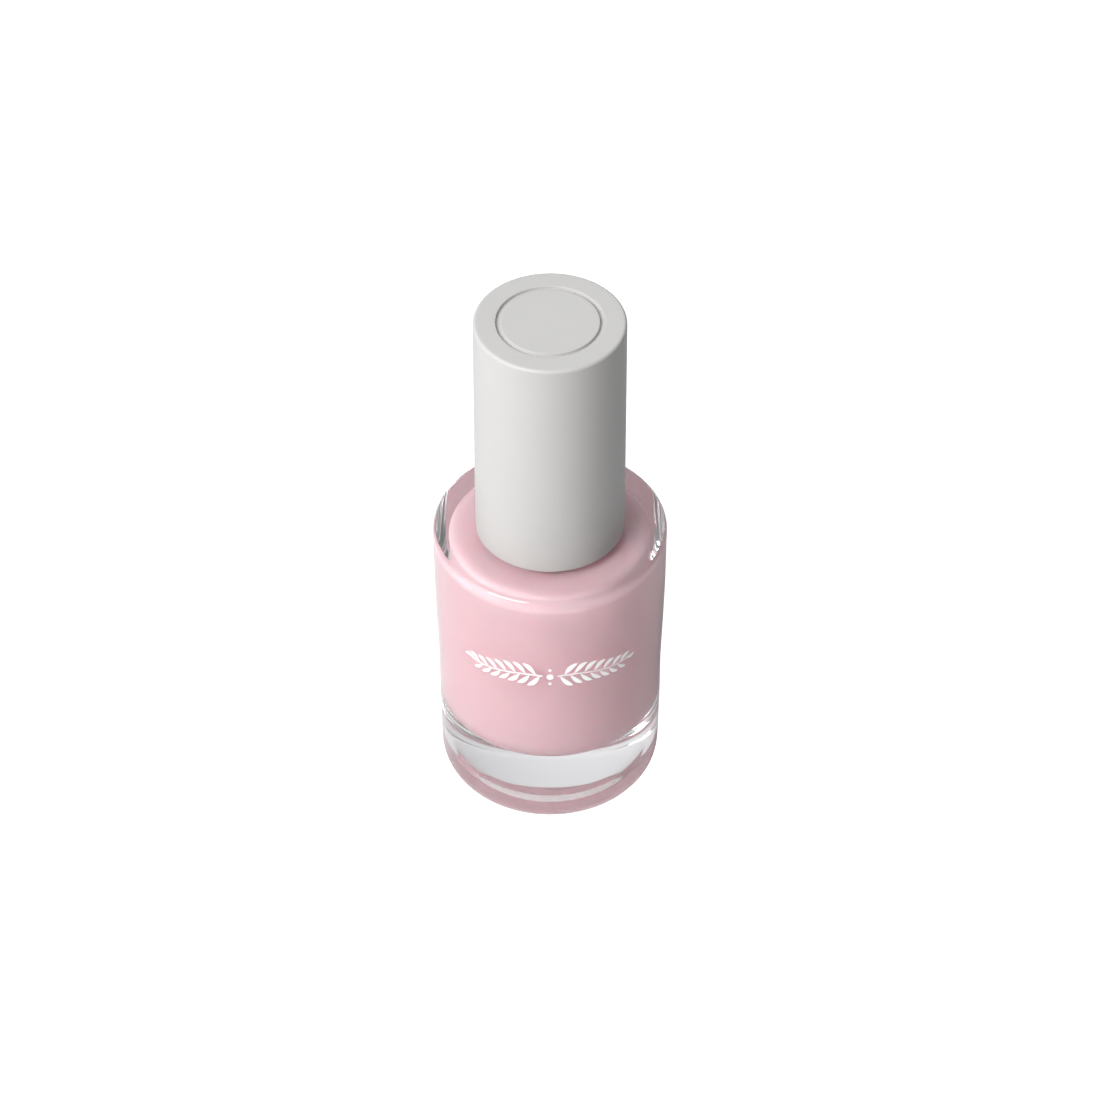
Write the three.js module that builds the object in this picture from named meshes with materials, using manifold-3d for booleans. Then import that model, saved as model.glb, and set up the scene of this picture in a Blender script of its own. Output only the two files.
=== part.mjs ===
// Nail polish bottle: a thick-walled round glass bottle of cream polish, and a tall cap with the brush in it.
// Millimetres, +Z up. The origin is the middle of the base, on the surface that the bottle stands on.
import * as THREE from 'three';
import { mergeVertices } from 'three/addons/utils/BufferGeometryUtils.js';
import Module from 'manifold-3d';

const wasm = await Module();
wasm.setup();

// ---------- driving dimensions ----------
const TOTAL_HEIGHT = 69.7;
const SEGMENTS = 48; // facets around every round piece
const ARC_STEPS = 5; // facets along a quarter arc
const GAP = 0.3; // clearance where two pieces touch

const GLASS = {
  domeHeight: 1.4, // middle of the shallow dome under the base
  domeRadius: 6.2,
  domeEdge: 1.2, // height of the dome's edge, where a small step leads down
  stepRadius: 7.6,
  stepHeight: 0.5, // foot of the step, from where the base slopes down to the stand
  standInner: 10.8, // the narrow ring that the bottle stands on
  standOuter: 11.4,
  heelHeight: 3.0,
  side: [[13.44, 3.0], [13.58, 9.9], [13.63, 16.7], [13.86, 23.5], [14.04, 30.3], [14.1, 37.2]],
  rimRadius: 13.7, // where the rounded rim meets the top
  rimTop: 37.75,
  dishRadius: 9.5, // the top sinks a little around the cap
  dishTop: 37.55,
};

const CAVITY = {
  floor: 9.8,
  floorCorner: 3.0,
  wallLow: 12.0,
  wallHigh: 12.25,
  shoulderStart: 35.0,
  shoulderInner: 10.6,
  ceiling: 36.6,
  polishInset: 0.2, // how far the polish is drawn in from the glass
};

const NECK = {
  outer: 5.75,
  bore: 3.6,
  top: 49.2,
  baseFillet: 1.2,
  boreFillet: 1.4,
  lip: 0.4, // rounding of the sealing rim
};

const THREAD = {
  pitch: 2.117, // 12 turns to the inch
  turnsOnNeck: 1.5,
  turnsInCap: 1.25,
  neckStart: 44.3, // height of the middle of the ridge where it begins
  neckCrest: 6.45,
  capRoot: 6.85,
  capCrest: 6.05,
  rootHalf: 0.6, // half the ridge's width at its root
  crestHalf: 0.3,
  buried: 0.3, // how far the ridge is sunk into its wall
  startAngle: 3, // degrees from +X to where the ridge begins
  fade: 0.12, // share of the ridge over which each end fades
  endRise: 0.35, // share of the full crest that is left at the very ends
  stepsPerTurn: 36,
};

const CAP = {
  radius: 9.0,
  bottom: 38.15,
  wall: 1.1,
  roof: 1.6,
  topRounding: 0.4,
  ringMiddle: 6.1, // the debossed ring in the top
  ringHalf: 0.35,
  ringDepth: 0.35,
};

const INNER = {
  radius: 7.55,
  bottom: 39.0,
  seat: 51.2, // underside of the plate that presses on the seal
  plate: 1.6,
  tubeInner: 6.5, // the tall tube above the plate, which steadies the outer cap
  top: 67.5,
  bossRadius: 3.3, // the blind socket for the stem
  bossTop: 60.0,
  bossBore: 2.3,
  bossDepth: 58.4,
  ribs: 12, // ribs that grip the inside of the outer cap
  ribDepth: 0.2,
  ribWidth: 0.8,
  ribBuried: 0.8, // how far a rib is sunk into the wall
  ribEnds: 1.0, // how far the ribs stop short of both ends
};

const SEAL = {
  hole: 2.2,
  gap: 0.2,
  linerRadius: 5.65,
  linerThickness: 0.45,
  backingRadius: 6.5,
  backingThickness: 0.85,
};

const STEM = {
  bottom: 25.5,
  top: 58.0,
  lowRadius: 1.65,
  highRadius: 1.9,
  snapRadius: 2.1, // two beads that snap into the boss of the inner cap
  lowBead: 53.2,
  highBead: 57.0,
  beadSlope: 1.0,
  topRadius: 1.5,
  socketRadius: 1.3,
  socketTop: 31.5,
};

const TUFT = {
  tip: 10.9,
  top: 29.6,
  neck: 24.5, // where the straight root begins to fan out
  rootRadius: 1.1,
  fanRadius: 2.2,
  fanHeight: 13.6,
  flatness: 0.5,
};

const STAPLE = { width: 1.1, leg: 1.6, wire: 0.3, innerHalf: 0.68, top: 30.5 };

const BALL = { radius: 1.6, orbit: 8.0, clearance: 0.35 };

const BRUSH_WELL = 2.9; // radius of the space that the brush keeps open in the polish

// ---------- geometry helpers ----------

// Points of an elliptical arc, as [radius, height], from one angle to another in degrees.
function arc(middleRadius, middleHeight, width, height, from, to, steps = ARC_STEPS) {
  const points = [];
  for (let i = 0; i <= steps; i++) {
    const angle = THREE.MathUtils.degToRad(from + ((to - from) * i) / steps);
    points.push([middleRadius + width * Math.cos(angle), middleHeight + height * Math.sin(angle)]);
  }
  return points;
}

// A solid of revolution about Z. The outline runs counter-clockwise in the radius and height plane.
function turned(outline, segments = SEGMENTS) {
  const points = outline.map(([radius, height]) => new THREE.Vector2(radius, height));
  const geometry = new THREE.LatheGeometry(points, segments);
  geometry.rotateX(Math.PI / 2);
  return geometry;
}

// An outline that closes on itself, for a solid with a hole along its axis.
function closed(outline) {
  return [...outline, outline[0]];
}

function withPositionsOnly(geometry) {
  const bare = geometry.clone();
  bare.deleteAttribute('normal');
  bare.deleteAttribute('uv');
  return mergeVertices(bare, 1e-5);
}

function solidOf(geometry) {
  const merged = withPositionsOnly(geometry);
  return new wasm.Manifold(new wasm.Mesh({
    numProp: 3,
    vertProperties: new Float32Array(merged.attributes.position.array),
    triVerts: new Uint32Array(merged.index.array),
  }));
}

function geometryOf(solid) {
  const mesh = solid.getMesh();
  const geometry = new THREE.BufferGeometry();
  geometry.setAttribute('position', new THREE.BufferAttribute(new Float32Array(mesh.vertProperties), 3));
  geometry.setIndex(new THREE.BufferAttribute(new Uint32Array(mesh.triVerts), 1));
  geometry.computeVertexNormals();
  return geometry;
}

// A right-hand helical ridge: a long box bent round the axis. Its crest fades into the wall at both ends.
function threadRidge({ wallRadius, crestRadius, startHeight, turns }) {
  const outwards = Math.sign(crestRadius - wallRadius);
  const steps = Math.round(turns * THREAD.stepsPerTurn);
  const startAngle = THREE.MathUtils.degToRad(THREAD.startAngle);
  const ridge = new THREE.BoxGeometry(1, 1, 1, steps, 1, 1);
  const position = ridge.attributes.position;
  for (let i = 0; i < position.count; i++) {
    const along = position.getX(i) + 0.5;
    const side = Math.sign(position.getY(i));
    const onCrest = position.getZ(i) > 0;
    const rise = Math.min(1, along / THREAD.fade, (1 - along) / THREAD.fade);
    const crest = wallRadius + (crestRadius - wallRadius) * Math.max(rise, THREAD.endRise);
    const radius = onCrest ? crest : wallRadius - outwards * THREAD.buried;
    const half = onCrest ? THREAD.crestHalf : THREAD.rootHalf;
    const angle = startAngle + along * turns * 2 * Math.PI;
    const height = startHeight + along * turns * THREAD.pitch + side * half;
    position.setXYZ(i, radius * Math.cos(angle), radius * Math.sin(angle), height);
  }
  if (outwards < 0) ridge.index.array.reverse();
  return ridge;
}

function piece(name, geometry, color, roughness, metalness = 0) {
  const mesh = new THREE.Mesh(geometry, new THREE.MeshStandardMaterial({ color, roughness, metalness }));
  mesh.name = name;
  return mesh;
}

// ---------- outlines shared by the glass and the polish ----------

// The cavity's wall from the middle of its floor up to the inner end of its shoulder, drawn in by an inset.
function cavityWall(inset) {
  const { floor, floorCorner, wallLow, wallHigh, shoulderStart, shoulderInner, ceiling } = CAVITY;
  const corner = floorCorner - inset;
  const shoulderWidth = wallHigh - shoulderInner - inset;
  const shoulderHeight = ceiling - shoulderStart - inset;
  return [
    ...arc(wallLow - floorCorner, floor + floorCorner, corner, corner, -90, 0),
    ...arc(shoulderInner, shoulderStart, shoulderWidth, shoulderHeight, 0, 90),
  ];
}

// ---------- bottle ----------

function glassBottle() {
  const { domeHeight, domeRadius, domeEdge, stepRadius, stepHeight, standInner, standOuter } = GLASS;
  const { heelHeight, side, rimRadius, rimTop, dishRadius, dishTop } = GLASS;
  const { outer, bore, top, baseFillet, boreFillet, lip } = NECK;
  const [heelRadius] = side[0];
  const [shoulderRadius, shoulderHeight] = side.at(-1);
  const dome = arc(0, domeEdge, domeRadius, domeHeight - domeEdge, 90, 0, 4);
  const heel = arc(standOuter, heelHeight, heelRadius - standOuter, heelHeight, -90, 0);
  const rim = arc(rimRadius, shoulderHeight, shoulderRadius - rimRadius, rimTop - shoulderHeight, 0, 90, 4);
  const neckBase = arc(outer + baseFillet, dishTop + baseFillet, baseFillet, baseFillet, 270, 180, 3);
  const lipOuter = arc(outer - lip, top - lip, lip, lip, 0, 90, 2);
  const lipInner = arc(bore + lip, top - lip, lip, lip, 90, 180, 2);
  const boreBase = arc(bore + boreFillet, CAVITY.ceiling + boreFillet, boreFillet, boreFillet, 180, 270, 3);
  const outline = [
    ...dome,
    [stepRadius, stepHeight],
    [standInner, 0],
    ...heel,
    ...side.slice(1, -1),
    ...rim,
    [dishRadius, dishTop],
    ...neckBase,
    ...lipOuter,
    ...lipInner,
    ...boreBase,
    ...cavityWall(0).reverse(),
    [0, CAVITY.floor],
  ];
  const ridge = threadRidge({
    wallRadius: outer,
    crestRadius: THREAD.neckCrest,
    startHeight: THREAD.neckStart,
    turns: THREAD.turnsOnNeck,
  });
  return geometryOf(solidOf(turned(outline)).add(solidOf(ridge)));
}

// The polish leaves a well for the brush, open at the top, and a channel for the balls, open at the floor.
function nailPolish() {
  const inset = CAVITY.polishInset;
  const wellFloor = TUFT.tip - GAP;
  const channelInner = BALL.orbit - BALL.radius - BALL.clearance;
  const channelOuter = BALL.orbit + BALL.radius + BALL.clearance;
  const channelTop = CAVITY.floor + 2 * (BALL.radius + BALL.clearance);
  return turned([
    [0, CAVITY.floor + inset],
    [channelInner, CAVITY.floor + inset],
    [channelInner, channelTop],
    [channelOuter, channelTop],
    ...cavityWall(inset).map(([radius, height], i) => (i === 0 ? [channelOuter, height] : [radius, height])),
    [BRUSH_WELL, CAVITY.ceiling - inset],
    [BRUSH_WELL, wellFloor],
    [0, wellFloor],
  ]);
}

function mixingBall(side) {
  const ball = new THREE.SphereGeometry(BALL.radius, 16, 12);
  ball.rotateX(Math.PI / 2);
  ball.translate(side * BALL.orbit, 0, CAVITY.floor + BALL.radius + BALL.clearance / 2);
  return ball;
}

// ---------- cap ----------

function overcap() {
  const { radius, bottom, wall, roof, topRounding, ringMiddle, ringHalf, ringDepth } = CAP;
  const ringFloor = TOTAL_HEIGHT - ringDepth;
  return turned([
    [0, TOTAL_HEIGHT - roof],
    [radius - wall, TOTAL_HEIGHT - roof],
    [radius - wall, bottom],
    [radius, bottom],
    ...arc(radius - topRounding, TOTAL_HEIGHT - topRounding, topRounding, topRounding, 0, 90, 3),
    [ringMiddle + ringHalf, TOTAL_HEIGHT],
    [ringMiddle + ringHalf / 2, ringFloor],
    [ringMiddle - ringHalf / 2, ringFloor],
    [ringMiddle - ringHalf, TOTAL_HEIGHT],
    [0, TOTAL_HEIGHT],
  ]);
}

function innerCap() {
  const { radius, bottom, seat, plate, tubeInner, top, bossRadius, bossTop, bossBore, bossDepth } = INNER;
  const { ribs, ribDepth, ribWidth, ribBuried, ribEnds } = INNER;
  const body = turned([
    [0, bossDepth],
    [bossBore, bossDepth],
    [bossBore, seat],
    [THREAD.capRoot, seat],
    [THREAD.capRoot, bottom],
    [radius, bottom],
    [radius, top],
    [tubeInner, top],
    [tubeInner, seat + plate],
    [bossRadius, seat + plate],
    [bossRadius, bossTop],
    [0, bossTop],
  ]);
  const ridge = threadRidge({
    wallRadius: THREAD.capRoot,
    crestRadius: THREAD.capCrest,
    startHeight: THREAD.neckStart - THREAD.pitch / 2,
    turns: THREAD.turnsInCap,
  });
  let solid = solidOf(body).add(solidOf(ridge));
  for (let i = 0; i < ribs; i++) {
    const rib = new THREE.BoxGeometry(ribDepth + ribBuried, ribWidth, top - bottom - 2 * ribEnds);
    rib.translate(radius + (ribDepth - ribBuried) / 2, 0, (top + bottom) / 2);
    rib.rotateZ((i * 2 * Math.PI) / ribs);
    solid = solid.add(solidOf(rib));
  }
  return geometryOf(solid);
}

// A flat ring of the seal around the stem, with its underside at the given height.
function sealRing(radius, height, thickness) {
  return turned(closed([
    [SEAL.hole, height],
    [radius, height],
    [radius, height + thickness],
    [SEAL.hole, height + thickness],
  ]));
}

// ---------- brush ----------

function brushStem() {
  const { bottom, top, lowRadius, highRadius, topRadius, socketRadius, socketTop } = STEM;
  const { snapRadius, lowBead, highBead, beadSlope } = STEM;
  return turned([
    [0, socketTop],
    [socketRadius, socketTop],
    [socketRadius, bottom],
    [lowRadius, bottom],
    [highRadius, INNER.seat],
    [snapRadius, lowBead],
    [highRadius, lowBead + beadSlope],
    [highRadius, highBead - beadSlope],
    [snapRadius, highBead],
    [topRadius, top],
    [0, top],
  ], 24);
}

// A flat oval tuft: round at the root, fanned near its rounded tip.
function brushBristles() {
  const { tip, top, neck, rootRadius, fanRadius, fanHeight, flatness } = TUFT;
  const tuft = turned([
    ...arc(0, fanHeight, fanRadius, fanHeight - tip, -90, 0, 4),
    [rootRadius, neck],
    [rootRadius, top],
    [0, top],
  ], 20);
  return tuft.scale(1, flatness, 1);
}

// A bent wire clip that straddles the folded end of the tuft.
function bristleStaple() {
  const { width, leg, wire, innerHalf, top } = STAPLE;
  const outerHalf = innerHalf + wire;
  const clip = new THREE.Shape([
    [-outerHalf, 0],
    [-outerHalf, -leg],
    [-innerHalf, -leg],
    [-innerHalf, -wire],
    [innerHalf, -wire],
    [innerHalf, -leg],
    [outerHalf, -leg],
    [outerHalf, 0],
  ].map(([across, up]) => new THREE.Vector2(across, up)));
  const geometry = new THREE.ExtrudeGeometry(clip, { depth: width, bevelEnabled: false });
  geometry.translate(0, 0, -width / 2);
  geometry.rotateX(Math.PI / 2);
  geometry.rotateZ(Math.PI / 2);
  return geometry.translate(0, 0, top);
}

// ---------- assembly ----------

const bottle = new THREE.Group();
bottle.add(
  piece('glass_bottle', glassBottle(), 0xf4f6f6, 0.02),
  piece('nail_polish', nailPolish(), 0xe6c3c9, 0.25),
  piece('mixing_ball_1', mixingBall(1), 0xb8babd, 0.2, 1),
  piece('mixing_ball_2', mixingBall(-1), 0xb8babd, 0.2, 1),
);

const linerHeight = NECK.top + SEAL.gap;
const backingHeight = linerHeight + SEAL.linerThickness + SEAL.gap;
const cap = new THREE.Group();
cap.add(
  piece('overcap', overcap(), 0xcfceca, 0.55),
  piece('inner_cap', innerCap(), 0xe8e8e6, 0.5),
  piece('seal_liner', sealRing(SEAL.linerRadius, linerHeight, SEAL.linerThickness), 0xf2efe6, 0.4),
  piece('liner_backing', sealRing(SEAL.backingRadius, backingHeight, SEAL.backingThickness), 0xf7f7f5, 0.8),
  piece('brush_stem', brushStem(), 0xf0f0ee, 0.35),
  piece('brush_bristles', brushBristles(), 0x3a3434, 0.45),
  piece('bristle_staple', bristleStaple(), 0xc9a45c, 0.3, 1),
);

const group = new THREE.Group();
group.add(bottle, cap);

export default group;
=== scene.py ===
import math
import random

import bpy
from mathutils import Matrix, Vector


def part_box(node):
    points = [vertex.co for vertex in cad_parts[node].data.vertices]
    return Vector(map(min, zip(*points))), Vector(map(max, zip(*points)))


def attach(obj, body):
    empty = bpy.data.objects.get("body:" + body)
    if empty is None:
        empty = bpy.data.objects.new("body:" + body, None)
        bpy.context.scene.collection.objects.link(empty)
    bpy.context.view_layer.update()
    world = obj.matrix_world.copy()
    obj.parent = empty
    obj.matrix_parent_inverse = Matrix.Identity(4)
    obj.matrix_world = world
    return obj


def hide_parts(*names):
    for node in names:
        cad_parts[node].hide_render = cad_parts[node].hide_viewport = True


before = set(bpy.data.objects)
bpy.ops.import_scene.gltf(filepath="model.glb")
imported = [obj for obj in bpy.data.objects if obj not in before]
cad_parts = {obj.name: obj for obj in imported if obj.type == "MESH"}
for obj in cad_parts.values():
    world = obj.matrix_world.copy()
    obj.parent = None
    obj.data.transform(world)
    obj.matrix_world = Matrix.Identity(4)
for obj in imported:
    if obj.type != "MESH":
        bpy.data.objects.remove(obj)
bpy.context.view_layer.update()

# ---------- sizes: outlines are in millimetres, and objects in metres ----------

MM = 0.001


def size_of(node):
    """A round CAD node's largest radius, lowest point and highest point, in millimetres."""
    low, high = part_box(node)
    return high.x / MM, low.z / MM, high.z / MM


GLASS_RADIUS, _, NECK_TOP = size_of("glass_bottle")
CAP_RADIUS, CAP_BOTTOM, CAP_TOP = size_of("overcap")
INNER_RADIUS, INNER_BOTTOM, INNER_TOP = size_of("inner_cap")
LINER_RADIUS, LINER_BOTTOM, LINER_TOP = size_of("seal_liner")
BACKING_RADIUS, BACKING_BOTTOM, BACKING_TOP = size_of("liner_backing")
STEM_RADIUS, STEM_BOTTOM, STEM_TOP = size_of("brush_stem")
TUFT_RADIUS, TUFT_BOTTOM, TUFT_TOP = size_of("brush_bristles")

# the outside of the glass
DOME_HEIGHT = 1.4
DOME_RADIUS = 6.2
DOME_EDGE = 1.2
STEP_RADIUS = 7.6
STEP_HEIGHT = 0.5
STAND_INNER = 10.8
STAND_OUTER = 11.4
SIDE = [(13.44, 3.0), (13.58, 9.9), (13.63, 16.7), (13.86, 23.5), (14.04, 30.3), (GLASS_RADIUS, 37.2)]
RIM_RADIUS = 13.7
RIM_TOP = 37.75
DISH_RADIUS = 9.5
DISH_TOP = 37.55

# the neck
NECK_RADIUS = 5.75
NECK_FILLET = 1.2
BORE_RADIUS = 3.6
BORE_FILLET = 1.4
LIP = 0.4

# the cavity that the polish fills
FLOOR = 9.8
FLOOR_CORNER = 3.0
WALL_LOW = 12.0
WALL_HIGH = 12.25
SHOULDER_START = 35.0
SHOULDER_INNER = 10.6
CEILING = 36.6
WETTING = 0.02           # the polish reaches this far into the glass, so no film of air lies between them
POLISH_LEVEL = 37.5

# the thread
PITCH = 2.117
THREAD_START = 44.3
NECK_TURNS = 1.5
CAP_TURNS = 1.25
NECK_CREST = 0.7
CAP_ROOT = 6.85
CAP_CREST = -0.8
RIDGE_ROOT = 0.6
RIDGE_CREST = 0.3
THREAD_ANGLE = math.radians(3)
THREAD_FADE = 0.12       # turns over which a ridge fades out at each end

# the outer cap, with a sunk ring in its top
CAP_WALL = 1.1
CAP_ROOF = 1.6
CAP_ROUNDING = 0.4
RING_MIDDLE = 6.1
RING_HALF = 0.35
RING_DEPTH = 0.35

# the inner cap
SEAT = 51.2              # height of the seat for the liner and its backing
PLATE = 1.6
TUBE_INNER = 6.5         # inner radius of the tube over the plate
BOSS_RADIUS = 3.3
BOSS_TOP = 60.0
BOSS_BORE = 2.3
BOSS_DEPTH = 58.4
RIBS = 12
RIB_STAND = 0.2          # how far a rib stands out from the wall
RIB_HALF = 0.5
RIB_FLANK = 0.2

# the brush
SOCKET_RADIUS = 1.3
SOCKET_TOP = 31.5
STEM_LOW = 1.65
STEM_HIGH = 1.9
DRY_LENGTH = 1.0         # the bristles are dry for this far under the stem
WET_FROM = 3.5           # and coated with polish from here on

ROUND = 192              # facets around the large round pieces
SHARP_ANGLE = math.radians(40)


# ---------- mesh helpers ----------

def arc(middle_radius, middle_height, width, height, start, end, steps=12):
    """Points of an elliptical arc between two angles in degrees, as (radius, height)."""
    angles = [math.radians(start + (end - start) * i / steps) for i in range(steps + 1)]
    return [(middle_radius + width * math.cos(a), middle_height + height * math.sin(a)) for a in angles]


def smooth_through(points, steps=10):
    """A Catmull-Rom curve through the points."""
    padded = [points[0], *points, points[-1]]
    curve = []
    for a, b, c, d in zip(padded, padded[1:], padded[2:], padded[3:]):
        for i in range(steps):
            t = i / steps
            curve.append(tuple(
                0.5 * (2 * q + (r - p) * t + (2 * p - 5 * q + 4 * r - s) * t**2
                       + (3 * q - p - 3 * r + s) * t**3)
                for p, q, r, s in zip(a, b, c, d)
            ))
    return [*curve, points[-1]]


def straight(start, end, steps):
    """Evenly spaced points along a straight line, both ends included."""
    return [
        tuple(a + (b - a) * i / steps for a, b in zip(start, end))
        for i in range(steps + 1)
    ]


def eased(start, end, steps):
    """Points of an S-curve from one height to another, level at both ends."""
    (r0, z0), (r1, z1) = start, end
    return [(r0 + (r1 - r0) * i / steps, z0 + (z1 - z0) * ease(i / steps)) for i in range(steps + 1)]


def mesh_object(name, points, faces, materials, smooth=True):
    """A mesh object from points in millimetres."""
    mesh = bpy.data.meshes.new(name)
    mesh.from_pydata([tuple(c * MM for c in p) for p in points], [], faces)
    mesh.validate()
    for face in mesh.polygons:
        face.use_smooth = smooth
    for material in materials:
        mesh.materials.append(material)
    piece = bpy.data.objects.new(name, mesh)
    bpy.context.scene.collection.objects.link(piece)
    return piece


def turned(name, outline, materials, around=ROUND, closed=False, relief=None):
    """A solid of revolution. The outline starts and ends on the axis, or closes on itself.

    relief gives how far a point is pushed outwards at an angle, for threads and ribs.
    """
    points, rows = [], []
    for radius, height in outline:
        if radius < 1e-6:
            rows.append([len(points)] * around)
            points.append((0, 0, height))
            continue
        rows.append(list(range(len(points), len(points) + around)))
        for i in range(around):
            angle = 2 * math.pi * i / around
            out = radius + (relief(angle, radius, height) if relief else 0)
            points.append((out * math.cos(angle), out * math.sin(angle), height))
    if closed:
        rows.append(rows[0])
    faces = []
    for low, high in zip(rows, rows[1:]):
        for i in range(around):
            j = (i + 1) % around
            corners = list(dict.fromkeys([low[i], low[j], high[j], high[i]]))
            if len(corners) > 2:
                faces.append(corners)
    piece = mesh_object(name, points, faces, materials)
    piece.data.set_sharp_from_angle(angle=SHARP_ANGLE)
    return piece


def ease(t):
    t = min(max(t, 0), 1)
    return t * t * (3 - 2 * t)


def thread_relief(angle, height, start, turns, crest):
    """How far a helical ridge stands out at an angle and height. It fades out at both ends."""
    best = 0
    for turn in range(math.ceil(turns) + 1):
        along = (angle - THREAD_ANGLE) / (2 * math.pi) + turn
        if not 0 <= along <= turns:
            continue
        away = abs(height - start - along * PITCH)
        flank = ease((RIDGE_ROOT - away) / (RIDGE_ROOT - RIDGE_CREST))
        fade = ease(min(along, turns - along) / THREAD_FADE)
        best = max(best, flank * fade)
    return crest * best


def place(piece, body, slot, node):
    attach(piece, body)
    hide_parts(node)


# ---------- material helpers ----------

class Shader:
    """A small wrapper that builds one Principled material."""

    def __init__(self, name, **settings):
        self.material = bpy.data.materials.new(name)
        self.material.use_nodes = True
        self.nodes = self.material.node_tree.nodes
        self.links = self.material.node_tree.links
        self.shader = self.nodes["Principled BSDF"]
        self.place = self.nodes.new("ShaderNodeTexCoord").outputs["Object"]
        for socket, value in settings.items():
            self.shader.inputs[socket.replace("_", " ")].default_value = value

    def noise(self, scale, detail=4):
        node = self.nodes.new("ShaderNodeTexNoise")
        node.inputs["Scale"].default_value = scale
        node.inputs["Detail"].default_value = detail
        node.inputs["Roughness"].default_value = 0.55
        self.links.new(self.place, node.inputs["Vector"])
        return node.outputs["Fac"]

    def mapped(self, source, old, new=(0.0, 1.0)):
        """A value carried from one range to another, and held at its ends."""
        node = self.nodes.new("ShaderNodeMapRange")
        for end, place, value in zip(("Min", "Max"), old, new):
            node.inputs[f"From {end}"].default_value = place
            node.inputs[f"To {end}"].default_value = value
        self.links.new(source, node.inputs["Value"])
        return node.outputs["Result"]

    def along(self, axis):
        """How far a point is along one of the object's axes."""
        node = self.nodes.new("ShaderNodeSeparateXYZ")
        self.links.new(self.place, node.inputs[0])
        return node.outputs[axis]

    def ramp(self, source, stops):
        """A colour ramp. Each stop is (place, colour or grey)."""
        node = self.nodes.new("ShaderNodeValToRGB")
        elements = node.color_ramp.elements
        while len(elements) < len(stops):
            elements.new(0.5)
        for element, (at, value) in zip(elements, stops):
            element.position = at
            element.color = (value,) * 3 + (1,) if isinstance(value, float) else (*value, 1)
        self.links.new(source, node.inputs["Fac"])
        return node.outputs["Color"]

    def colour(self, source, stops):
        self.links.new(self.ramp(source, stops), self.shader.inputs["Base Color"])

    def rough(self, source, low, high):
        self.links.new(self.ramp(source, [(0.3, low), (0.7, high)]), self.shader.inputs["Roughness"])

    def bump(self, source, height):
        """Bump from a height texture. height is in metres."""
        node = self.nodes.new("ShaderNodeBump")
        node.inputs["Distance"].default_value = height
        node.inputs["Strength"].default_value = 1.0
        self.links.new(source, node.inputs["Height"])
        self.links.new(node.outputs["Normal"], self.shader.inputs["Normal"])


# ---------- materials ----------

def glass_material():
    m = Shader("clear_glass", Transmission_Weight=1.0, IOR=1.5, Roughness=0.0)
    m.colour(m.noise(40), [(0.3, (0.985, 0.99, 0.99)), (0.7, (0.995, 0.995, 0.995))])
    return m.material


def polish_material(name, specular, roughness, bleed):
    """Cream lacquer. bleed is how much of the light spreads under its surface, red light the furthest."""
    m = Shader(
        name,
        Specular_IOR_Level=specular,
        Roughness=roughness,
        IOR=1.6,
        Subsurface_Weight=bleed,
        Subsurface_Radius=(1.0, 0.2, 0.25),
        Subsurface_Scale=8 * MM,
    )
    m.colour(m.noise(60, 3), [(0.3, (0.955, 0.655, 0.70)), (0.7, (0.965, 0.665, 0.71))])
    return m.material


def cap_material():
    m = Shader("cap_grey", Roughness=0.5)
    m.colour(m.noise(120, 5), [(0.3, (0.452, 0.446, 0.435)), (0.7, (0.462, 0.456, 0.445))])
    m.rough(m.noise(700, 3), 0.46, 0.54)
    m.bump(m.noise(5000, 2), 0.000004)
    return m.material


def plastic_material(name, dark, light, roughness, grain=900, depth=0.000006):
    m = Shader(name)
    m.colour(m.noise(150, 4), [(0.3, dark), (0.7, light)])
    m.rough(m.noise(600, 3), roughness - 0.06, roughness + 0.06)
    m.bump(m.noise(grain, 3), depth)
    return m.material


def steel_material():
    m = Shader("ball_steel", Metallic=1.0)
    m.colour(m.noise(400), [(0.3, (0.60, 0.61, 0.62)), (0.7, (0.70, 0.71, 0.72))])
    m.rough(m.noise(900), 0.12, 0.24)
    return m.material


def brass_material():
    m = Shader("staple_brass", Metallic=1.0)
    m.colour(m.noise(800), [(0.3, (0.66, 0.47, 0.20)), (0.7, (0.78, 0.60, 0.30))])
    m.rough(m.noise(1200), 0.25, 0.4)
    return m.material


def bristle_material():
    """Nylon filaments, dry by the stem and wet with polish towards the tip."""
    m = Shader("bristle_nylon", Coat_Weight=0.3, Coat_Roughness=0.15)
    wet = m.mapped(m.along("Z"), ((STEM_BOTTOM - DRY_LENGTH) * MM, (STEM_BOTTOM - WET_FROM) * MM))
    m.colour(wet, [(0.0, (0.045, 0.040, 0.040)), (1.0, (0.72, 0.44, 0.48))])
    m.rough(m.noise(1500), 0.25, 0.4)
    return m.material


def ink_material():
    m = Shader("white_ink", Roughness=0.35)
    m.colour(m.noise(900, 4), [(0.3, (0.93, 0.93, 0.93)), (0.7, (0.98, 0.98, 0.98))])
    m.bump(m.noise(3000, 2), 0.000003)
    return m.material


glass_look = glass_material()
polish_look = polish_material("pink_polish", 0.0, 0.7, 0.25)
polish_open_look = polish_material("pink_polish_open", 0.5, 0.12, 0.7)
cap_look = cap_material()
inner_look = plastic_material("inner_plastic", (0.78, 0.78, 0.77), (0.82, 0.82, 0.81), 0.42)
film_look = plastic_material("liner_film", (0.80, 0.78, 0.72), (0.86, 0.84, 0.78), 0.25)
foam_look = plastic_material("liner_foam", (0.84, 0.84, 0.83), (0.92, 0.92, 0.91), 0.75, 2600, 0.00004)
stem_look = plastic_material("stem_plastic", (0.82, 0.82, 0.81), (0.88, 0.88, 0.87), 0.3)
steel_look = steel_material()
brass_look = brass_material()
bristle_look = bristle_material()
ink_look = ink_material()


# ---------- bottle ----------

def side_curve():
    return smooth_through(SIDE)


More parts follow.
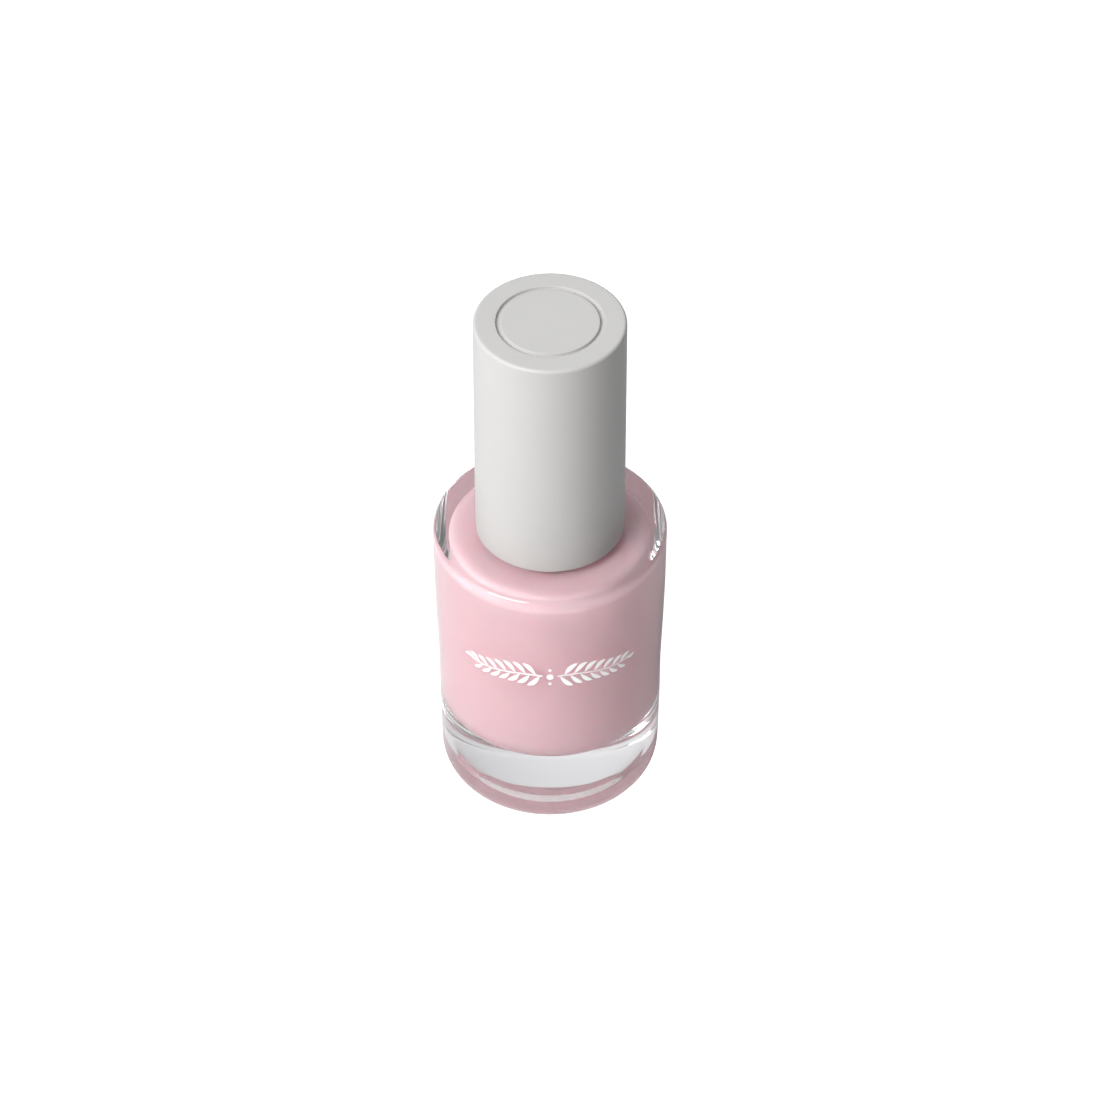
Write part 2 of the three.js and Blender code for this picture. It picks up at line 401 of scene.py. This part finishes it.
def cavity_wall(reach=0.0):
    """The cavity's wall from the middle of its floor to the inner end of its shoulder, moved out by reach."""
    corner = FLOOR + FLOOR_CORNER
    return [
        *arc(WALL_LOW - FLOOR_CORNER, corner, FLOOR_CORNER + reach, FLOOR_CORNER + reach, -90, 0),
        *straight((WALL_LOW + reach, corner), (WALL_HIGH + reach, SHOULDER_START), 12)[1:-1],
        *arc(SHOULDER_INNER, SHOULDER_START, WALL_HIGH - SHOULDER_INNER + reach,
             CEILING - SHOULDER_START + reach, 0, 90, 24),
    ]


def glass_bottle():
    heel_radius, heel_height = SIDE[0]
    shoulder_radius, shoulder_height = SIDE[-1]
    outline = [
        *arc(0, DOME_EDGE, DOME_RADIUS, DOME_HEIGHT - DOME_EDGE, 90, 30, 8),
        *eased((DOME_RADIUS, DOME_EDGE), (STEP_RADIUS, STEP_HEIGHT), 12),
        *straight((STEP_RADIUS, STEP_HEIGHT), (STAND_INNER, 0), 6)[1:],
        *arc(STAND_OUTER, heel_height, heel_radius - STAND_OUTER, heel_height, -90, 0, 20),
        *side_curve()[1:-1],
        *arc(RIM_RADIUS, shoulder_height, shoulder_radius - RIM_RADIUS, RIM_TOP - shoulder_height, 0, 90, 20),
        *straight((RIM_RADIUS - 0.3, RIM_TOP - 0.01), (DISH_RADIUS, DISH_TOP), 6),
        *arc(NECK_RADIUS + NECK_FILLET, DISH_TOP + NECK_FILLET, NECK_FILLET, NECK_FILLET, 270, 180, 8),
        *straight((NECK_RADIUS, THREAD_START - 1), (NECK_RADIUS, NECK_TOP - LIP), 60),
        *arc(NECK_RADIUS - LIP, NECK_TOP - LIP, LIP, LIP, 0, 90, 6)[1:],
        *arc(BORE_RADIUS + LIP, NECK_TOP - LIP, LIP, LIP, 90, 180, 6),
        *arc(BORE_RADIUS + BORE_FILLET, CEILING + BORE_FILLET, BORE_FILLET, BORE_FILLET, 180, 270, 8),
        *reversed(cavity_wall()),
        (0, FLOOR),
    ]

    def relief(angle, radius, height):
        on_neck = abs(radius - NECK_RADIUS) < 1e-6
        return thread_relief(angle, height, THREAD_START, NECK_TURNS, NECK_CREST) if on_neck else 0

    return turned("bottle_glass", outline, [glass_look], relief=relief)


def nail_polish():
    """The polish wets the glass all round, and stands a little way up the neck with a slight meniscus."""
    fillet = arc(BORE_RADIUS + BORE_FILLET, CEILING + BORE_FILLET, BORE_FILLET - WETTING,
                 BORE_FILLET - WETTING, 270, 180, 12)
    wetted = [p for p in fillet if p[1] < POLISH_LEVEL]
    edge_radius = wetted[-1][0]
    outline = [
        (0, FLOOR - WETTING),
        *cavity_wall(WETTING),
        *wetted,
        (edge_radius - 0.15, wetted[-1][1] - 0.1),
        (edge_radius - 0.5, wetted[-1][1] - 0.2),
        (0, wetted[-1][1] - 0.24),
    ]
    piece = turned("polish", outline, [polish_look, polish_open_look])
    open_height = (wetted[-1][1] - 0.3) * MM
    for face in piece.data.polygons:
        if face.center.z > open_height and math.hypot(face.center.x, face.center.y) < edge_radius * MM:
            face.material_index = 1
    return piece


def mixing_ball(name, node):
    low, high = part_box(node)
    middle = (low + high) / 2 / MM
    radius = (high.z - low.z) / 2 / MM
    ball = turned(name, arc(0, 0, radius, radius, -90, 90, 24), [steel_look], around=48)
    for vertex in ball.data.vertices:
        vertex.co += middle * MM
    return ball


# ---------- printed ornament ----------

PRINT_HEIGHT = 25.6      # middle of the print on the side of the bottle
PRINT_HALF = 11.0        # half its length around the bottle
INK = 0.03


def radius_at(height):
    """The bottle's outer radius at a height."""
    curve = side_curve()
    for (r0, z0), (r1, z1) in zip(curve, curve[1:]):
        if z0 <= height <= z1:
            return r0 + (r1 - r0) * (height - z0) / (z1 - z0)
    return curve[-1][0]


def on_glass(along, up, lift):
    """A point of the print, along the front and up from its middle, lifted off the glass."""
    height = PRINT_HEIGHT + up
    radius = radius_at(height) + lift
    angle = along / radius_at(PRINT_HEIGHT) - math.pi / 2
    return (radius * math.cos(angle), radius * math.sin(angle), height)


def ink_shape(points, faces, left, right):
    """Adds a closed film of ink between two edges of equal length."""
    first = len(points)
    count = len(left)
    for lift in (INK, -INK / 2):
        for side in (left, right):
            points.extend(on_glass(a, u, lift) for a, u in side)
    fl, fr, bl, br = (first + k * count for k in range(4))
    for i in range(count - 1):
        faces.append((fl + i, fl + i + 1, fr + i + 1, fr + i))
        faces.append((bl + i, br + i, br + i + 1, bl + i + 1))
        faces.append((fl + i, bl + i, bl + i + 1, fl + i + 1))
        faces.append((fr + i, fr + i + 1, br + i + 1, br + i))
    last = count - 1
    faces.append((fl, fr, br, bl))
    faces.append((fl + last, bl + last, br + last, fr + last))


def leaf(points, faces, at, angle, length, width, steps=12):
    """A slender pointed leaf that grows from a point of the stem."""
    left, right = [], []
    direction = (math.cos(angle), math.sin(angle))
    for i in range(steps + 1):
        t = 0.01 + 0.98 * i / steps
        half = width / 2 * math.sin(math.pi * t) ** 0.8
        curl = 0.12 * length * math.sin(math.pi * t) * (1 if direction[1] > 0 else -1)
        middle = (at[0] + direction[0] * length * t, at[1] + direction[1] * length * t + curl)
        left.append((middle[0] - direction[1] * half, middle[1] + direction[0] * half))
        right.append((middle[0] + direction[1] * half, middle[1] - direction[0] * half))
    ink_shape(points, faces, left, right)


def dot(points, faces, at, radius, steps=12):
    left, right = [], []
    for i in range(steps + 1):
        angle = math.pi * (0.01 + 0.98 * i / steps)
        across, along = radius * math.sin(angle), -radius * math.cos(angle)
        left.append((at[0] + along, at[1] + across))
        right.append((at[0] + along, at[1] - across))
    ink_shape(points, faces, left, right)


def printed_sprigs():
    """Two mirrored sprigs that meet in a small bud at the front of the bottle."""

    def wave(along):
        return 0.25 * math.sin(abs(along) / PRINT_HALF * 2 * math.pi)

    points, faces = [], []
    pairs, stem_steps = 7, 40
    for side in (-1, 1):
        stem = [side * (0.9 + (PRINT_HALF - 1.6) * i / stem_steps) for i in range(stem_steps + 1)]
        heights = [wave(a) for a in stem]
        half = [0.09 * (1 - 0.5 * abs(a) / PRINT_HALF) for a in stem]
        ink_shape(
            points, faces,
            [(a, h + side * w) for a, h, w in zip(stem, heights, half)],
            [(a, h - side * w) for a, h, w in zip(stem, heights, half)],
        )
        for k in range(pairs):
            share = k / (pairs - 1)
            at = side * (1.5 + (PRINT_HALF - 3.6) * share)
            height = wave(at)
            length = 2.3 - 0.7 * share
            for up in (-1, 1):
                lean = math.radians(48 - 12 * share)
                angle = up * lean if side > 0 else math.pi - up * lean
                base = (at + side * 0.25 * up, height + 0.12 * up)
                leaf(points, faces, base, angle, length, 0.62 - 0.14 * share)
        leaf(points, faces, (side * (PRINT_HALF - 1.0), 0.0), 0.0 if side > 0 else math.pi, 1.4, 0.46)
    dot(points, faces, (0, 0), 0.42)
    for up in (-1, 1):
        dot(points, faces, (0, up * 1.15), 0.2)
    return mesh_object("printed_sprigs", points, faces, [ink_look], smooth=False)


# ---------- cap ----------

def overcap():
    """The smooth outer shell, with rounded edges and a sunk ring in its top."""
    inner = CAP_RADIUS - CAP_WALL
    ceiling = CAP_TOP - CAP_ROOF
    ring_floor = CAP_TOP - RING_DEPTH
    corner, inner_edge, outer_edge = 0.4, 0.15, 0.2
    outline = [
        (0, ceiling),
        (inner - corner, ceiling),
        *arc(inner - corner, ceiling - corner, corner, corner, 90, 0, 4),
        *straight((inner, ceiling - 1), (inner, CAP_BOTTOM + 0.3), 8),
        *arc(inner + inner_edge, CAP_BOTTOM + inner_edge, inner_edge, inner_edge, 180, 270, 4),
        *arc(CAP_RADIUS - outer_edge, CAP_BOTTOM + outer_edge, outer_edge, outer_edge, 270, 360, 6),
        *straight((CAP_RADIUS, CAP_BOTTOM + 1), (CAP_RADIUS, CAP_TOP - CAP_ROUNDING - 0.5), 12),
        *arc(CAP_RADIUS - CAP_ROUNDING, CAP_TOP - CAP_ROUNDING, CAP_ROUNDING, CAP_ROUNDING, 0, 90, 10),
        *straight((CAP_RADIUS - CAP_ROUNDING - 0.3, CAP_TOP), (RING_MIDDLE + RING_HALF + 0.1, CAP_TOP), 4),
        *arc(RING_MIDDLE + RING_HALF, CAP_TOP - 0.08, 0.1, 0.08, 90, 180, 4),
        (RING_MIDDLE + RING_HALF * 0.55, ring_floor + 0.06),
        (RING_MIDDLE + RING_HALF * 0.45, ring_floor),
        (RING_MIDDLE - RING_HALF * 0.45, ring_floor),
        (RING_MIDDLE - RING_HALF * 0.55, ring_floor + 0.06),
        *arc(RING_MIDDLE - RING_HALF, CAP_TOP - 0.08, 0.1, 0.08, 0, 90, 4),
        *straight((RING_MIDDLE - RING_HALF - 0.3, CAP_TOP), (1.0, CAP_TOP), 4),
        (0, CAP_TOP),
    ]
    return turned("cap_shell", outline, [cap_look])


def inner_cap():
    """The threaded and ribbed inner cap, with a boss that holds the brush's stem."""
    wall = INNER_RADIUS - RIB_STAND
    edge = 0.2
    outline = [
        (0, BOSS_DEPTH),
        (BOSS_BORE, BOSS_DEPTH),
        *straight((BOSS_BORE, BOSS_DEPTH), (BOSS_BORE, SEAT), 4),
        (CAP_ROOT, SEAT),
        *straight((CAP_ROOT, SEAT - 0.2), (CAP_ROOT, INNER_BOTTOM + 0.3), 110),
        *arc(CAP_ROOT + edge, INNER_BOTTOM + edge, edge, edge, 180, 270, 3),
        *arc(wall - edge, INNER_BOTTOM + edge, edge, edge, 270, 360, 3),
        *straight((wall, INNER_BOTTOM + 1), (wall, INNER_TOP - 1), 30),
        *arc(wall - edge, INNER_TOP - edge, edge, edge, 0, 90, 3),
        (TUBE_INNER, INNER_TOP),
        (TUBE_INNER, SEAT + PLATE),
        (BOSS_RADIUS, SEAT + PLATE),
        (BOSS_RADIUS, BOSS_TOP),
        (0, BOSS_TOP),
    ]

    def relief(angle, radius, height):
        if abs(radius - CAP_ROOT) < 1e-6:
            return thread_relief(angle, height, THREAD_START - PITCH / 2, CAP_TURNS, CAP_CREST)
        if abs(radius - wall) < 1e-6:
            swing = angle * RIBS / (2 * math.pi)
            away = abs(swing - round(swing)) * 2 * math.pi / RIBS * wall
            return RIB_STAND * ease((RIB_HALF - away) / RIB_FLANK)
        return 0

    return turned("threaded_cap", outline, [inner_look], relief=relief)


def seal_ring(name, radius, bottom, top, look, hole=2.2, edge=0.08):
    outline = [
        *arc(hole + edge, bottom + edge, edge, edge, 180, 270, 3),
        *arc(radius - edge, bottom + edge, edge, edge, 270, 360, 3),
        *arc(radius - edge, top - edge, edge, edge, 0, 90, 3),
        *arc(hole + edge, top - edge, edge, edge, 90, 180, 3),
    ]
    return turned(name, outline, [look], around=96, closed=True)


# ---------- brush ----------

def brush_stem():
    """The stem, with a socket for the tuft in its foot and two beads that hold it in the inner cap."""
    edge = 0.15
    outline = [
        (0, SOCKET_TOP),
        (SOCKET_RADIUS, SOCKET_TOP),
        *straight((SOCKET_RADIUS, SOCKET_TOP - 0.3), (SOCKET_RADIUS, STEM_BOTTOM + edge), 4),
        *arc(STEM_LOW - edge, STEM_BOTTOM + edge, edge, edge, 270, 360, 5),
        *straight((STEM_LOW, STEM_BOTTOM + 0.6), (STEM_HIGH, SEAT), 24),
        (STEM_RADIUS, SEAT + 2),
        (STEM_HIGH, SEAT + 3),
        (STEM_HIGH, STEM_TOP - 2),
        (STEM_RADIUS, STEM_TOP - 1),
        (STEM_HIGH - 0.4, STEM_TOP),
        (0, STEM_TOP),
    ]
    return turned("stem", outline, [stem_look], around=64)


FILAMENTS = 420
FILAMENT_SIDES = 5
FILAMENT_STEPS = 9
FLATNESS = 0.5
TIP_LENGTH = 2.7         # length of the tuft's rounded tip


def brush_bristles():
    """Many fine filaments, bundled in the stem's socket and fanned towards a rounded tip."""
    rng = random.Random(7)
    points, faces = [], []
    root = SOCKET_RADIUS - 0.25
    fan_height = TUFT_BOTTOM + TIP_LENGTH
    for k in range(FILAMENTS):
        share = math.sqrt((k + 0.5) / FILAMENTS)
        turn = k * math.pi * (3 - math.sqrt(5))
        across, deep = share * math.cos(turn), share * math.sin(turn)
        thick = rng.uniform(0.045, 0.06)
        tip = TUFT_BOTTOM + (fan_height - TUFT_BOTTOM) * (1 - math.sqrt(max(0.0, 1 - min(share, 0.98) ** 2)))
        tip += rng.uniform(0.0, 0.25)
        wander = rng.uniform(-0.05, 0.05), rng.uniform(-0.05, 0.05)
        rings = []
        for i in range(FILAMENT_STEPS + 1):
            t = i / FILAMENT_STEPS
            height = TUFT_TOP + (tip - TUFT_TOP) * t
            spread = ease((STEM_BOTTOM + 1 - height) / (STEM_BOTTOM + 1 - fan_height))
            wide = root + (TUFT_RADIUS - 0.08 - root) * spread
            x = across * wide + wander[0] * spread
            y = deep * (root * (1 - spread) + TUFT_RADIUS * FLATNESS * spread) * 0.92 + wander[1] * spread
            taper = thick * (1 - 0.75 * ease((t - 0.85) / 0.15))
            first = len(points)
            for s in range(FILAMENT_SIDES):
                a = 2 * math.pi * s / FILAMENT_SIDES
                points.append((x + taper * math.cos(a), y + taper * math.sin(a), height))
            rings.append(first)
        faces.append([rings[0] + s for s in range(FILAMENT_SIDES)])
        faces.append([rings[-1] + s for s in reversed(range(FILAMENT_SIDES))])
        for a, b in zip(rings, rings[1:]):
            for s in range(FILAMENT_SIDES):
                n = (s + 1) % FILAMENT_SIDES
                faces.append((a + n, a + s, b + s, b + n))
    return mesh_object("bristles", points, faces, [bristle_look])


def bristle_staple():
    """A bent round wire that straddles the folded tuft."""
    low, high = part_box("bristle_staple")
    wire, bend = 0.14, 0.35
    half = (high.y / MM) - wire
    top = high.z / MM - wire
    bottom = low.z / MM
    path = [
        *straight((-half, bottom), (-half, top - bend), 4),
        *arc(-half + bend, top - bend, bend, bend, 180, 90, 6)[1:],
        *arc(half - bend, top - bend, bend, bend, 90, 0, 6),
        *straight((half, top - bend), (half, bottom), 4)[1:],
    ]
    points, faces, rings = [], [], []
    sides = 12
    for i, (y, z) in enumerate(path):
        ahead, behind = path[min(i + 1, len(path) - 1)], path[max(i - 1, 0)]
        along = Vector((0, ahead[0] - behind[0], ahead[1] - behind[1])).normalized()
        side = Vector((1, 0, 0))
        up = along.cross(side)
        rings.append(len(points))
        for s in range(sides):
            a = 2 * math.pi * s / sides
            points.append(tuple(Vector((0, y, z)) + wire * (side * math.cos(a) + up * math.sin(a))))
    for a, b in zip(rings, rings[1:]):
        for s in range(sides):
            n = (s + 1) % sides
            faces.append((a + s, a + n, b + n, b + s))
    faces.append([rings[0] + s for s in reversed(range(sides))])
    faces.append([rings[-1] + s for s in range(sides)])
    return mesh_object("wire_staple", points, faces, [brass_look])


# ---------- the pieces on their bodies ----------

place(glass_bottle(), "bottle", "clear_glass", "glass_bottle")
place(nail_polish(), "bottle", "pink_polish", "nail_polish")
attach(printed_sprigs(), "bottle")
place(mixing_ball("ball_one", "mixing_ball_1"), "ball_1", "ball_steel", "mixing_ball_1")
place(mixing_ball("ball_two", "mixing_ball_2"), "ball_2", "ball_steel", "mixing_ball_2")
place(overcap(), "brush_cap", "cap_grey", "overcap")
place(inner_cap(), "brush_cap", "inner_plastic", "inner_cap")
place(seal_ring("liner_ring", LINER_RADIUS, LINER_BOTTOM, LINER_TOP, film_look),
      "liner", "liner_film", "seal_liner")
place(seal_ring("backing_ring", BACKING_RADIUS, BACKING_BOTTOM, BACKING_TOP, foam_look),
      "backing", "liner_foam", "liner_backing")
place(brush_stem(), "brush_cap", "stem_plastic", "brush_stem")
place(brush_bristles(), "brush_cap", "bristle_nylon", "brush_bristles")
place(bristle_staple(), "brush_cap", "staple_brass", "bristle_staple")


# ---------- floor, light and camera ----------

FLOOR_SIZE = 1.2         # half the sides of the planes, in metres
GROUND_SIZE = 12.0
FLOOR_LEFT = 0.72        # painted shade: the floor's colour on its lit left side and its darker right side, and where it changes, in millimetres
FLOOR_PAINTED_SHADE = 0.5
FLOOR_SHADE_CHANGE = (-20, 40)
PAINTED_GLOW = 0.3               # painted light: the floor's glow under the bottle, standing in for the light that the clear base lets through
KEY_AZIMUTH = -43
KEY_ELEVATION = 43
KEY_POWER = 11.0
KEY_SIZE = 0.45
KEY_DISTANCE = 0.9
SKY_MIDDLE = 0.5         # the soft surroundings: their level at the sides, and how it changes with direction
SKY_SLOPE = (-0.2, 0.35, 0)


def stage_plane(name, s, height, material):
    """A level square plane of the stage, with sides of 2 s."""
    mesh = bpy.data.meshes.new(name)
    mesh.from_pydata([(-s, -s, height), (s, -s, height), (s, s, height), (-s, s, height)], [], [(0, 1, 2, 3)])
    mesh.materials.append(material)
    plane = bpy.data.objects.new(name, mesh)
    bpy.context.scene.collection.objects.link(plane)
    return plane


def floor():
    """A pale floor that the camera doesn't see, over a plain white ground that only the camera sees.

    The bottle is lit by the floor and mirrors it. The floor's colour is painted darker on the right, away
    from the light, as painted shade, and it glows a little under the bottle as painted light, standing in for
    the light that a clear base lets through.
    """
    m = Shader("floor_painted_shade_and_glow", Roughness=0.8, Emission_Color=(1, 1, 1, 1))
    # painted shade: the floor's colour goes from lighter on the left to darker on the right, away from the
    # light
    shade = m.mapped(m.along("X"), [at * MM for at in FLOOR_SHADE_CHANGE])
    m.colour(shade, [(0.0, FLOOR_LEFT), (1.0, FLOOR_PAINTED_SHADE)])
    # painted light: the floor glows in a disc under the bottle, standing in for light let through by the
    # clear base
    away = m.nodes.new("ShaderNodeVectorMath")
    away.operation = "LENGTH"
    m.links.new(m.place, away.inputs[0])
    glow = m.mapped(away.outputs["Value"], ((STAND_OUTER + 1) * MM, GLASS_RADIUS * MM), (PAINTED_GLOW, 0.0))
    m.links.new(glow, m.shader.inputs["Emission Strength"])
    stage_plane("floor", FLOOR_SIZE, 0, m.material).visible_camera = False
    m = Shader("ground_white", Emission_Color=(1, 1, 1, 1), Emission_Strength=1.0)
    ground = stage_plane("ground", GROUND_SIZE, -MM, m.material)
    ground.visible_diffuse = ground.visible_glossy = ground.visible_transmission = False
    ground.visible_shadow = False


def area_light(name, azimuth, elevation, distance, size, power, middle):
    """A square soft box that faces the middle. Azimuth 0 is in front, at -Y, and -90 is on the left."""
    a, e = math.radians(azimuth), math.radians(elevation)
    away = Vector((math.sin(a) * math.cos(e), -math.cos(a) * math.cos(e), math.sin(e)))
    data = bpy.data.lights.new(name, "AREA")
    data.shape = "RECTANGLE"
    data.size = data.size_y = size
    data.energy = power
    lamp = bpy.data.objects.new(name, data)
    lamp.location = middle + away * distance
    lamp.rotation_mode = "QUATERNION"
    lamp.rotation_quaternion = away.to_track_quat("Z", "Y")
    bpy.context.scene.collection.objects.link(lamp)


def studio():
    """One soft light from the front left, in surroundings that are brightest behind the bottle."""
    middle = Vector((0, 0, 0.035))
    area_light("key", KEY_AZIMUTH, KEY_ELEVATION, KEY_DISTANCE, KEY_SIZE, KEY_POWER, middle)
    world = bpy.data.worlds.new("studio")
    world.use_nodes = True
    nodes, links = world.node_tree.nodes, world.node_tree.links
    direction = nodes.new("ShaderNodeTexCoord")
    towards = nodes.new("ShaderNodeVectorMath")
    towards.operation = "DOT_PRODUCT"
    towards.inputs[1].default_value = SKY_SLOPE
    level = nodes.new("ShaderNodeMath")
    level.operation = "ADD"
    level.inputs[1].default_value = SKY_MIDDLE
    links.new(direction.outputs["Generated"], towards.inputs[0])
    links.new(towards.outputs["Value"], level.inputs[0])
    links.new(level.outputs["Value"], nodes["Background"].inputs["Strength"])
    nodes["Background"].inputs["Color"].default_value = (0.97, 0.98, 1.0, 1)
    bpy.context.scene.world = world


CAMERA_ELEVATION = math.radians(42.83)
CAMERA_DISTANCE = 0.6207
CAMERA_TARGET = Vector((0, 0, 0.0335))
CAMERA_LENS = 167.95


def camera():
    data = bpy.data.cameras.new("camera")
    data.lens = CAMERA_LENS
    data.sensor_width = 36
    data.clip_start = 0.01
    away = Vector((0, -math.cos(CAMERA_ELEVATION), math.sin(CAMERA_ELEVATION)))
    eye = bpy.data.objects.new("camera", data)
    eye.location = CAMERA_TARGET + away * CAMERA_DISTANCE
    eye.rotation_mode = "QUATERNION"
    eye.rotation_quaternion = away.to_track_quat("Z", "Y")
    bpy.context.scene.collection.objects.link(eye)
    bpy.context.scene.camera = eye


floor()
studio()
camera()
scene = bpy.context.scene
scene.view_settings.view_transform = "Standard"
scene.cycles.sample_clamp_indirect = 0
scene.cycles.max_bounces = 24
scene.cycles.transmission_bounces = 24
scene.cycles.glossy_bounces = 12
scene.cycles.diffuse_bounces = 6
